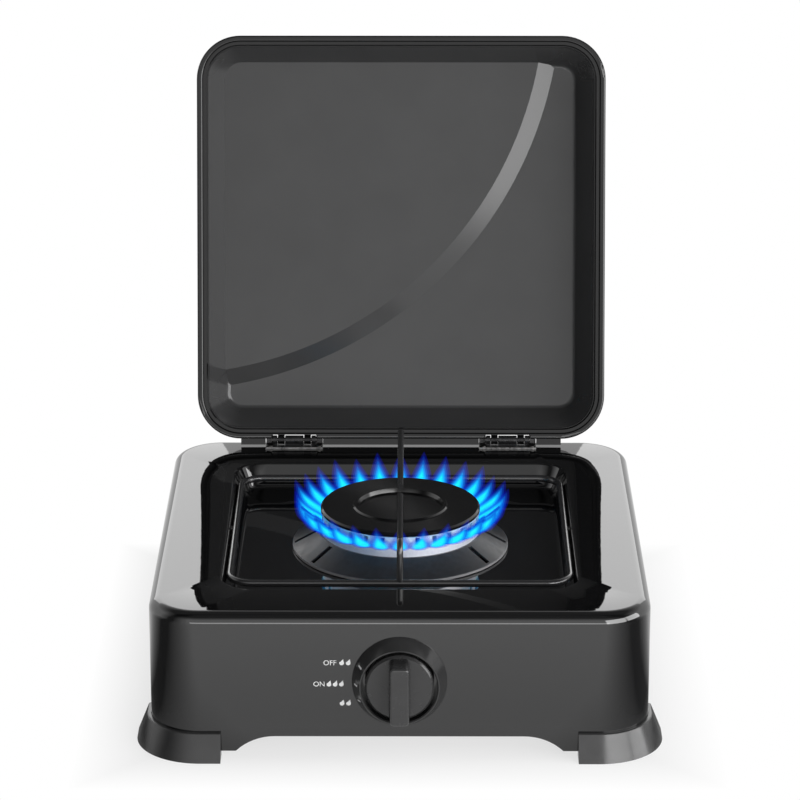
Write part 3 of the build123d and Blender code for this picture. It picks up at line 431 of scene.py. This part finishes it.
class STOVE_OT_lid(bpy.types.Operator):
    """Shape and enamel the lid's stepped tray"""

    bl_idname = "stove.lid"
    bl_label = "Lid"

    def execute(self, context):
        finishes = context.scene.stove_finishes
        tray = smooth_twin("lid_panel", "lid_skin")
        bpy.ops.object.mode_set(mode="EDIT")
        self.ease_step(tray)
        self.close_drip_edge(tray)
        bpy.ops.object.mode_set(mode="OBJECT")
        settle(tray, "lid", self.lid_finish(finishes))
        return {"FINISHED"}

    def ease_step(self, tray):
        """Press the shallow panel back in small moves of growing reach, so that its step slopes gently."""
        shallow = LID_FACE + 0.0234
        press = 0.0016
        reach_up, reach_down = 0.003, 0.0045
        moves = 16
        for move in range(1, moves + 1):
            low = shallow - reach_up * move / moves
            high = shallow + reach_down * move / moves
            pick_points(tray, lambda p: low < p.dot(LID_BACK) < high)
            bpy.ops.transform.translate(value=LID_BACK * press / moves)

    def close_drip_edge(self, tray):
        """Lead the drip edge up to the ends of the hinges."""
        gap, reach = 0.001, 0.0008
        near = 0.00005
        top = HOB_Z + 0.008
        for side in (-1, 1):
            for end, way in ((LEAF_LOW.x - gap, 1), (LEAF_HIGH.x + gap, -1)):
                pick_points(tray, lambda p: abs(p.x + side * end) < near and p.z < top)
                bpy.ops.transform.translate(value=(-side * way * reach, 0, 0))

    def lid_finish(self, finishes):
        """Satin enamel on the tray and black gloss on its rolled rim; the rim's black is partly painted
        shade.
        """
        material, shader, place = surface("lid_enamel")
        spot = parts_of(material, place)
        back = work_out(material, "MULTIPLY", spot["Y"], cos(LID_LEAN))
        drop = work_out(material, "MULTIPLY", spot["Z"], sin(LID_LEAN))
        depth = work_out(material, "SUBTRACT", back, drop)
        # The rim's black is black enamel and partly painted shade, standing for the shadow along the lid's
        # edge
        rim_end, tray_start = LID_FACE + 0.0015, LID_FACE + 0.003
        tray = between(material, depth, rim_end, tray_start)
        drift = cloud(material, place, size=0.03)
        satin = drifting(material, drift, finishes.lid, spread=0.05)
        colour = blend_colours(material, tray, finishes.body, satin)
        link(material, colour, shader.inputs["Base Color"])
        smooth, rough = finishes.lid_gloss * 0.95, finishes.lid_gloss * 1.05
        satin_gloss = between(material, drift, NOISE_LOW, NOISE_HIGH, smooth, rough)
        gloss = blend_values(material, tray, finishes.body_gloss, satin_gloss)
        link(material, gloss, shader.inputs["Roughness"])
        peel(material, shader, place, height=0.00006, strength=0.1)
        return material


class STOVE_OT_feet(bpy.types.Operator):
    """Finish the moulded corner feet and their screws"""

    bl_idname = "stove.feet"
    bl_label = "Feet"

    def execute(self, context):
        finishes = context.scene.stove_finishes
        material = moulded_finish("foot_plastic", finishes.plastic, roughness=0.22)
        for end in ("front", "rear"):
            for side in ("left", "right"):
                coat(f"foot_{end}_{side}", material)
        coat("foot_screws", metal_finish("foot_screw_steel", finishes.steel, roughness=0.3))
        return {"FINISHED"}


class STOVE_OT_pan_support(bpy.types.Operator):
    """Finish the bent wire that carries the pan"""

    bl_idname = "stove.pan_support"
    bl_label = "Pan support"

    def execute(self, context):
        finishes = context.scene.stove_finishes
        material = enamel_finish("wire_enamel", finishes.wire, roughness=0.2)
        wire = smooth_twin("pan_support", "pan_wire")
        settle(wire, "stove", material)
        return {"FINISHED"}


class STOVE_OT_burner(bpy.types.Operator):
    """Finish the burner from its bowl up to its cap"""

    bl_idname = "stove.burner"
    bl_label = "Burner"

    def execute(self, context):
        finishes = context.scene.stove_finishes
        cast = shade(finishes.aluminium, 0.8)
        coat("burner_crown", self.crown_finish(finishes))
        coat("burner_bowl", metal_finish("bowl_aluminium", cast, roughness=0.4, grain=0.004))
        coat("burner_screws", metal_finish("burner_screw_steel", finishes.steel, roughness=0.3))
        coat("burner_skirt", self.skirt_finish(finishes))
        coat("burner_cap", self.cap_finish(finishes))
        return {"FINISHED"}

    def crown_finish(self, finishes):
        """Die-cast aluminium, bead-blasted and a little milky."""
        material, shader, place = surface("crown_aluminium")
        grain = cloud(material, place, size=0.0012, detail=2.0)
        mottle(material, shader, grain, finishes.aluminium, spread=0.04)
        dull(material, shader, grain, smooth=0.28, rough=0.36)
        shader.inputs["Metallic"].default_value = 0.45
        roughen(material, shader, grain, height=0.00002, strength=0.2)
        return material

    def cap_finish(self, finishes):
        """Black enamel with a painted highlight: its rim is coloured light aluminium below a line."""
        material, shader, place = surface("cap_enamel")
        height = parts_of(material, place)["Z"]
        drift = cloud(material, place, size=0.02)
        black = drifting(material, drift, finishes.body, spread=0.2)
        # Painted highlight: below this line the cap's rim is coloured light, where light catches it
        line = CAP_HIGH.z - 0.0033
        blur = 0.0001
        rim_highlight = between(material, height, line - blur, line + blur, 0.8, 0.0)
        colour = blend_colours(material, rim_highlight, black, finishes.aluminium)
        link(material, colour, shader.inputs["Base Color"])
        dull(material, shader, drift, smooth=0.14, rough=0.2)
        shader.inputs["IOR"].default_value = 1.6
        peel(material, shader, place, height=0.00008, strength=0.12)
        return material

    def skirt_finish(self, finishes):
        """Satin grey pressing with a painted highlight: a light aluminium band along its lower edge."""
        material, shader, place = surface("skirt_satin")
        grain = cloud(material, place, size=0.003, detail=4.0)
        grey = drifting(material, grain, finishes.skirt, spread=0.2)
        height = parts_of(material, place)["Z"]
        # Painted highlight: the lowest band of the skirt is coloured light, where light catches its edge
        hem_end, grey_start = SKIRT_FOOT + 0.0011, SKIRT_FOOT + 0.0016
        hem_highlight = between(material, height, hem_end, grey_start, 1.0, 0.0)
        colour = blend_colours(material, hem_highlight, grey, shade(finishes.aluminium, 0.4))
        link(material, colour, shader.inputs["Base Color"])
        dull(material, shader, grain, smooth=0.28, rough=0.4)
        roughen(material, shader, grain, height=0.00005, strength=0.3)
        return material


class STOVE_OT_gas_line(bpy.types.Operator):
    """Finish the valve, tubes and inlet under the hob"""

    bl_idname = "stove.gas_line"
    bl_label = "Gas line"

    def execute(self, context):
        finishes = context.scene.stove_finishes
        plated = metal_finish("tube_steel", finishes.steel, roughness=0.3, grain=0.003)
        for node in ("mixing_tube", "gas_pipe"):
            coat(node, plated)
        brass = metal_finish("turned_brass", finishes.brass, roughness=0.25, grain=0.0015)
        for node in ("injector", "gas_plug", "valve_stem", "pipe_nut", "inlet_nipple", "inlet_nut"):
            coat(node, brass)
        alloy = shade(finishes.aluminium, 0.75)
        cast = metal_finish("valve_alloy", alloy, roughness=0.45, grain=0.003)
        for node in ("valve_body", "valve_cover"):
            coat(node, cast)
        coat("valve_screws", metal_finish("valve_screw_steel", finishes.steel, roughness=0.3))
        self.spring(metal_finish("spring_steel", shade(finishes.steel, 0.8), roughness=0.25))
        return {"FINISHED"}

    def spring(self, material):
        """A copy of the return spring, which rides on the plug, with a mesh of its own."""
        coil = smooth_twin("valve_spring", "spring_coil")
        settle(coil, "plug", material)
        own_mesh(coil)


class STOVE_OT_knob(bpy.types.Operator):
    """Finish the knob and its ring"""

    bl_idname = "stove.knob"
    bl_label = "Knob"

    def execute(self, context):
        finishes = context.scene.stove_finishes
        coat("knob", moulded_finish("knob_plastic", finishes.plastic, roughness=0.25))
        coat("knob_ring", moulded_finish("ring_plastic", finishes.plastic, roughness=0.2))
        return {"FINISHED"}


class STOVE_OT_hinges(bpy.types.Operator):
    """Finish the hinge leaves, pins and rivets"""

    bl_idname = "stove.hinges"
    bl_label = "Hinges"

    def execute(self, context):
        finishes = context.scene.stove_finishes
        steel_edge = self.steel_edge_finish(finishes)
        plain = metal_finish("hinge_leaf_black", finishes.hinge, roughness=0.4)
        for side in ("left", "right"):
            coat(f"hinge_{side}_body_leaf", steel_edge)
            coat(f"hinge_{side}_lid_leaf", plain)
        pins = metal_finish("pin_steel", shade(finishes.steel, 0.15), roughness=0.35)
        for node in ("hinge_left_pin", "hinge_right_pin", "hinge_rivets"):
            coat(node, pins)
        return {"FINISHED"}

    def steel_edge_finish(self, finishes):
        """Blackened steel, coloured steel in patches along its front edge."""
        material, shader, place = surface("hinge_black")
        grain = cloud(material, place, size=0.002, detail=4.0)
        black = drifting(material, grain, finishes.hinge, spread=0.3)
        depth = parts_of(material, place)["Y"]
        # The front edge is coloured steel in patches
        bare_end, black_start = LEAF_LOW.y + 0.0002, LEAF_LOW.y + 0.0009
        edge = between(material, depth, bare_end, black_start, 1.0, 0.0)
        edge_patches = between(material, grain, 0.3, 0.6, 0.25, 0.6)
        steel_edge = work_out(material, "MULTIPLY", edge, edge_patches)
        colour = blend_colours(material, steel_edge, black, finishes.steel)
        link(material, colour, shader.inputs["Base Color"])
        dull(material, shader, grain, smooth=0.25, rough=0.4)
        shader.inputs["Metallic"].default_value = 0.6
        roughen(material, shader, grain, height=0.00005, strength=0.3)
        return material


class STOVE_OT_marks(bpy.types.Operator):
    """Print ON, OFF and the flame signs beside the knob, and the ticks on its ring"""

    bl_idname = "stove.marks"
    bl_label = "Printed marks"

    def execute(self, context):
        self.settings = context.scene.stove_marks
        self.ink = self.print_ink(context.scene.stove_finishes.print)
        sign = self.flame_sign()
        for row, (word, start, rise, flames) in enumerate(PRINTED_ROWS, 1):
            if word:
                self.letters(word, start, rise)
            for spot, across in enumerate(flames, 1):
                twin = copy_piece(sign, f"printed_flame_{row}_{spot}")
                twin.location = (across, FRONT_Y, KNOB_Z + rise)
                settle(twin, "stove", self.ink)
        bpy.data.objects.remove(sign)
        for spot, bearing in enumerate(TICK_BEARINGS, 1):
            self.tick(spot, radians(bearing))
        return {"FINISHED"}

    def print_ink(self, colour):
        """Pad-printed ink, a little uneven."""
        material, shader, place = surface("print_ink")
        mottle(material, shader, cloud(material, place, size=0.0015), colour, spread=0.08)
        dull(material, shader, cloud(material, place, size=0.0008), smooth=0.35, rough=0.5)
        return material

    def letters(self, word, start, rise):
        capital_share = 0.7
        clear_selection()
        bpy.ops.object.text_add(location=(0, 0, 0))
        piece = bpy.context.object
        piece.name = f"printed_{word.lower()}"
        piece.data.body = word
        piece.data.size = self.settings.letter / capital_share
        piece.data.extrude = self.settings.film / 2
        piece.data.align_y = "CENTER"
        bpy.ops.object.convert(target="MESH")
        piece.rotation_euler = (pi / 2, 0, 0)
        piece.location = (start, FRONT_Y - self.settings.film / 2, KNOB_Z + rise)
        settle(piece, "stove", self.ink)

    def flame_sign(self):
        """One flame: a disc drawn out to a leaning point, with the film's thickness."""
        height = self.settings.flame
        radius = height * 0.36
        clear_selection()
        bpy.ops.mesh.primitive_circle_add(
            vertices=20, radius=radius, fill_type="NGON", rotation=(pi / 2, 0, 0)
        )
        sign = bpy.context.object
        sign.name = "printed_flame"
        bpy.ops.object.transform_apply(location=True, rotation=True, scale=True)
        bpy.ops.object.mode_set(mode="EDIT")
        self.draw_out(sign, height * 0.2, 0.62, height * 0.12, (height * 0.08, 0, height * 0.1))
        self.draw_out(sign, height * 0.43, 0.35, height * 0.2, (height * 0.07, 0, height * 0.16))
        bpy.ops.mesh.select_all(action="SELECT")
        bpy.ops.mesh.extrude_region_move(TRANSFORM_OT_translate={"value": (0, -self.settings.film, 0)})
        bpy.ops.mesh.select_all(action="SELECT")
        bpy.ops.mesh.normals_make_consistent(inside=False)
        bpy.ops.object.mode_set(mode="OBJECT")
        return sign

    def draw_out(self, sign, level, share, middle, move):
        """Narrow the sign over a level, round a middle line, and move that part."""
        pick_points(sign, lambda p: p.z > level)
        bpy.ops.transform.resize(value=(share, 1, 1), center_override=(middle, 0, 0))
        bpy.ops.transform.translate(value=move)

    def tick(self, spot, bearing):
        """A short bar that lies on the ring's cone."""
        length = self.settings.tick
        film = self.settings.film
        width = 0.0009
        rim = 0.0006
        narrowing = 0.0041
        way_up = 0.52
        clear_selection()
        bpy.ops.mesh.primitive_cube_add(size=1, scale=(length, width, film * 2))
        piece = bpy.context.object
        piece.name = f"ring_tick_{spot}"
        bpy.ops.object.transform_apply(location=False, rotation=False, scale=True)
        bpy.ops.object.mode_set(mode="EDIT")
        bpy.ops.mesh.select_all(action="SELECT")
        bpy.ops.mesh.bevel(offset=film * 0.5, segments=1)
        bpy.ops.object.mode_set(mode="OBJECT")
        slope = Vector((-narrowing, rim - RING_RISE))
        out = Vector((cos(bearing), 0, sin(bearing)))
        along = (out * slope.x + Vector((0, slope.y, 0))).normalized()
        across = Vector((-sin(bearing), 0, cos(bearing)))
        face = along.cross(across)
        if face.dot(out) < 0:
            across = -across
            face = along.cross(across)
        middle = out * (RING_RADIUS + slope.x * way_up)
        middle += Vector((0, RING_HIGH.y - rim + slope.y * way_up, KNOB_Z))
        turn = piece.matrix_world.to_3x3()
        for row in range(3):
            turn[row][0], turn[row][1], turn[row][2] = along[row], across[row], face[row]
        piece.matrix_world = turn.to_4x4()
        piece.location = middle + face * film
        settle(piece, "stove", self.ink)


class STOVE_OT_flames(bpy.types.Operator):
    """Model one flame and set a copy at each port of the crown"""

    bl_idname = "stove.flames"
    bl_label = "Flames"

    def execute(self, context):
        flames = context.scene.stove_flames
        if not flames.lit:
            return {"FINISHED"}
        flame = self.layered_flame(flames)
        root = CAP_RADIUS - 0.0018
        for spot in range(flames.count):
            bearing = pi / 2 + 2 * pi * spot / flames.count
            twin = copy_piece(flame, f"flame_{spot + 1:02d}")
            lively = 0.94 + 0.04 * sin(2.4 * spot) + 0.02 * sin(5.1 * spot + 1.0)
            twin.scale = (1.0, lively, lively)
            select_only(twin)
            bpy.ops.object.transform_apply(location=False, rotation=False, scale=True)
            twin.rotation_euler = (0, 0, bearing - pi / 2)
            across, back = root * cos(bearing), BURNER_Y + root * sin(bearing)
            twin.location = (across, back, CROWN_TOP - flames.root)
            twin.visible_glossy = False
            settle(twin, "stove", None)
        bpy.data.objects.remove(flame)
        return {"FINISHED"}

    def layered_flame(self, flames):
        """Tongues inside each other, from the wide, faint mantle to the slim, bright core."""
        tongues = []
        for layer in range(flames.layers):
            name = f"flame_{layer + 1}"
            inward = layer / (flames.layers - 1)
            width = flames.width * (1.3 - 0.85 * inward)
            share = 1 - 0.42 * inward
            colour = tuple(a + (b - a) * inward**1.4 for a, b in zip(flames.mantle, flames.core))
            root = 0.12 + 0.78 * inward**2
            tip = 0.02 + 0.25 * root
            tongue = self.tongue(name, width, share, flames)
            tongue.data.materials.append(self.glow(name, colour, 1 + inward, root, tip))
            tongues.append(tongue)
        select_only(tongues[0])
        for tongue in tongues[1:]:
            tongue.select_set(True)
        bpy.ops.object.join()
        return tongues[0]

    def tongue(self, name, width, share, flames):
        """A ball drawn out into a tongue that leaves its port sideways and turns up to a point."""
        clear_selection()
        bpy.ops.mesh.primitive_uv_sphere_add(segments=14, ring_count=14, radius=0.5, location=(0, 0, 0.5))
        piece = bpy.context.object
        piece.name = name
        bpy.ops.object.transform_apply(location=True, rotation=False, scale=True)
        levels = sorted({round(p.co.z, 4) for p in piece.data.vertices})
        near = 0.0008
        # A shaped ring is set aside, far over the ball, so that no later level picks it
        aside = 10
        bpy.ops.object.mode_set(mode="EDIT")
        for level in reversed(levels):
            pick_points(piece, lambda p: abs(p.z - level) < near)
            if 0 < level < 1:
                # The flame is widest low down, the ball half way up
                girth = sin(pi * min(1.0, level * 0.94 + 0.06) ** 0.62) ** 0.9
                round_girth = sqrt(max(level * (1 - level), 1e-6)) * 2
                wide = width * girth / round_girth
                bpy.ops.transform.resize(value=(wide, wide, 1), center_override=(0, 0, level))
            along = level * share
            lean = flames.reach * (1.5 * along - 0.5 * along**2)
            climb = flames.rise * (0.6 * along + 0.4 * along**2)
            bpy.ops.transform.translate(value=(0, lean, climb - level + aside))
        bpy.ops.mesh.select_all(action="SELECT")
        bpy.ops.transform.translate(value=(0, 0, -aside))
        bpy.ops.object.mode_set(mode="OBJECT")
        bpy.ops.object.shade_smooth()
        return piece

    def glow(self, name, colour, strength, root, tip):
        """Light that thins out from the port to the tip."""
        material, nodes, mix = bare_surface(name)
        clear = nodes.new("ShaderNodeBsdfTransparent")
        light = nodes.new("ShaderNodeEmission")
        light.inputs["Color"].default_value = (*colour, 1)
        light.inputs["Strength"].default_value = strength
        coords = nodes.new("ShaderNodeTexCoord")
        along = parts_of(material, coords.outputs["UV"])["Y"]
        link(material, between(material, along, 0.15, 1.0, root, tip), mix.inputs["Fac"])
        link(material, clear.outputs["BSDF"], mix.inputs[1])
        link(material, light.outputs["Emission"], mix.inputs[2])
        return material


class STOVE_OT_stage(bpy.types.Operator):
    """Set the floor, lights, world and camera"""

    bl_idname = "stove.stage"
    bl_label = "Stage"

    def execute(self, context):
        stage = context.scene.stove_stage
        context.scene.view_settings.view_transform = "Standard"
        self.floor(stage)
        self.world(context.scene)
        lid_face = (0.0, LID_LOW.y, (LID_LOW.z + LID_HIGH.z) / 2)
        hob = (0.0, BODY_Y, HOB_Z)
        # Name, aim, bearing and rise in degrees, distance, size, power
        soft_boxes = (
            ("key_light", lid_face, 36, 9, 1.8, (1.3, 1.1), 22.0),
            ("side_light", lid_face, 72, 10, 1.5, (0.8, 0.8), 10.0),
            ("front_light", hob, 0, 3, 2.0, (1.6, 0.34), 4.4),
            ("rear_light_left", hob, 202, 22, 1.22, (0.6, 0.5), 1.4),
            ("rear_light_right", hob, 158, 22, 1.22, (0.6, 0.5), 1.4),
        )
        for box in soft_boxes:
            self.soft_light(*box)
        self.camera(context.scene, stage)
        return {"FINISHED"}

    def floor(self, stage):
        """A wide sheet that curves up behind the stove."""
        width, depth, rise = 9, 7, 3
        behind = 3.0
        clear_selection()
        bpy.ops.mesh.primitive_plane_add(size=1, location=(0, 0, 0))
        sheet = bpy.context.object
        sheet.name = "floor_sheet"
        sheet.scale = (width, depth, 1)
        bpy.ops.object.transform_apply(location=True, rotation=True, scale=True)
        bpy.ops.object.mode_set(mode="EDIT")
        pick_points(sheet, lambda p: p.y > behind)
        bpy.ops.mesh.extrude_region_move(TRANSFORM_OT_translate={"value": (0, 0, rise)})
        pick_points(sheet, lambda p: p.y > behind and p.z < rise / 2)
        bpy.ops.mesh.bevel(offset=1.2, segments=12)
        bpy.ops.object.mode_set(mode="OBJECT")
        bpy.ops.object.shade_smooth()
        sheet.data.materials.append(self.floor_finish(stage))

    def floor_finish(self, stage):
        """White to the camera, flagged in mirrors, partly matt near the stove, so that its shadow shows."""
        material, nodes, mix = bare_surface("floor_white")
        matt = nodes.new("ShaderNodeBsdfDiffuse")
        matt.inputs["Color"].default_value = (*stage.floor, 1)
        white = nodes.new("ShaderNodeEmission")
        coords = nodes.new("ShaderNodeTexCoord")
        path = nodes.new("ShaderNodeLightPath")
        by_camera = path.outputs["Is Camera Ray"]
        spot = parts_of(material, coords.outputs["Object"])
        back = work_out(material, "SUBTRACT", spot["Y"], BODY_Y)
        # Gap between a spot on the floor and the stove's walls
        past_side = work_out(material, "SUBTRACT", work_out(material, "ABSOLUTE", spot["X"]), SHELL_HIGH.x)
        past_end = work_out(material, "SUBTRACT", work_out(material, "ABSOLUTE", back), SHELL_HIGH.y - BODY_Y)
        gap = work_out(material, "MAXIMUM", work_out(material, "MAXIMUM", past_side, past_end), 0.0)
        away = between(material, gap, 0.0, stage.shadow, 0.7, 1.0)
        mirrored = self.flagged(material, spot["X"], back)
        mirrored = work_out(material, "MULTIPLY", mirrored, between(material, gap, 0.06, 0.2, 0.84, 1.0))
        link(material, blend_values(material, by_camera, mirrored, 1.0), white.inputs["Strength"])
        seen = work_out(material, "MAXIMUM", by_camera, path.outputs["Is Glossy Ray"])
        seen = work_out(material, "MAXIMUM", seen, path.outputs["Is Transmission Ray"])
        link(material, work_out(material, "MULTIPLY", away, seen), mix.inputs["Fac"])
        link(material, matt.outputs["BSDF"], mix.inputs[1])
        link(material, white.outputs["Emission"], mix.inputs[2])
        return material

    def flagged(self, tree, across, back):
        """White with a dark stretch at the front left and front right, as black flags give in mirrors."""
        dark = 0.08
        ahead = work_out(tree, "MULTIPLY", back, -1.0)
        bearing = work_out(tree, "ARCTAN2", work_out(tree, "ABSOLUTE", across), ahead)
        near = between(tree, bearing, radians(26), radians(60), 1.0, dark)
        far = between(tree, bearing, radians(72), radians(96), dark, 1.0)
        return work_out(tree, "MAXIMUM", near, far)

    def world(self, scene):
        """White to the camera, white with dark flags and a dark top in mirrors, softer as light."""
        soft = 0.22
        world = bpy.data.worlds.new("studio")
        scene.world = world
        world.use_nodes = True
        nodes = world.node_tree.nodes
        background = nodes["Background"]
        path = nodes.new("ShaderNodeLightPath")
        coords = nodes.new("ShaderNodeTexCoord")
        way = parts_of(world, coords.outputs["Generated"])
        overhead = between(world, way["Z"], sin(radians(30)), sin(radians(55)), 1.0, 0.1)
        mirrored = work_out(world, "MULTIPLY", overhead, self.flagged(world, way["X"], way["Y"]))
        by_mirror = path.outputs["Is Glossy Ray"]
        by_mirror = work_out(world, "MAXIMUM", by_mirror, path.outputs["Is Transmission Ray"])
        level = blend_values(world, by_mirror, soft, mirrored)
        level = blend_values(world, path.outputs["Is Camera Ray"], level, 1.0)
        link(world, level, background.inputs["Strength"])
        background.inputs["Color"].default_value = (1, 1, 1, 1)

    def soft_light(self, name, aim, bearing, rise, distance, size, power):
        """A soft box at a bearing round the stove, from its front to its right, and an angle of rise."""
        turn, lift = radians(bearing), radians(rise)
        way = Vector((sin(turn) * cos(lift), -cos(turn) * cos(lift), sin(lift)))
        clear_selection()
        bpy.ops.object.light_add(type="AREA", location=Vector(aim) + way * distance)
        lamp = bpy.context.object
        lamp.name = name
        lamp.data.shape = "RECTANGLE"
        lamp.data.size, lamp.data.size_y = size
        lamp.data.energy = power
        lamp.rotation_euler = way.to_track_quat("Z", "Y").to_euler()
        lamp.visible_camera = False

    def camera(self, scene, stage):
        """The photograph's view: the aim lies a hair left of the stove's middle."""
        aim = Vector((-0.000187, BODY_Y, stage.height))
        turn, pitch = stage.turn, stage.pitch
        look = Vector((sin(turn) * cos(pitch), cos(turn) * cos(pitch), -sin(pitch)))
        clear_selection()
        bpy.ops.object.camera_add()
        eye = bpy.context.object
        eye.name = "camera"
        eye.data.lens = stage.lens
        eye.data.sensor_width = 36.0
        eye.data.sensor_fit = "HORIZONTAL"
        eye.location = aim - look * stage.distance
        eye.rotation_euler = look.to_track_quat("-Z", "Y").to_euler()
        scene.camera = eye


class STOVE_PT_build(bpy.types.Panel):
    """Settings and steps of the stove"""

    bl_label = "Tabletop stove"
    bl_idname = "STOVE_PT_build"
    bl_space_type = "VIEW_3D"
    bl_region_type = "UI"
    bl_category = "Stove"

    def draw(self, context):
        for group in SETTINGS:
            box = self.layout.box()
            for setting in SETTINGS[group].__annotations__:
                box.prop(getattr(context.scene, group), setting)
        for step in STEPS:
            self.layout.operator(step.bl_idname)


SETTINGS = {
    "stove_finishes": StoveFinishes,
    "stove_flames": StoveFlames,
    "stove_marks": StoveMarks,
    "stove_stage": StoveStage,
}
STEPS = (
    STOVE_OT_body,
    STOVE_OT_lid,
    STOVE_OT_feet,
    STOVE_OT_pan_support,
    STOVE_OT_burner,
    STOVE_OT_gas_line,
    STOVE_OT_knob,
    STOVE_OT_hinges,
    STOVE_OT_marks,
    STOVE_OT_flames,
    STOVE_OT_stage,
)


def register():
    for group, settings in SETTINGS.items():
        bpy.utils.register_class(settings)
        setattr(bpy.types.Scene, group, bpy.props.PointerProperty(type=settings))
    for step in STEPS:
        bpy.utils.register_class(step)
    bpy.utils.register_class(STOVE_PT_build)


def unregister():
    bpy.utils.unregister_class(STOVE_PT_build)
    for step in reversed(STEPS):
        bpy.utils.unregister_class(step)
    for group, settings in SETTINGS.items():
        delattr(bpy.types.Scene, group)
        bpy.utils.unregister_class(settings)


def main():
    register()
    for step in STEPS:
        area, name = step.bl_idname.split(".")
        getattr(getattr(bpy.ops, area), name)()
    clear_selection()


if __name__ == "__main__":
    main()
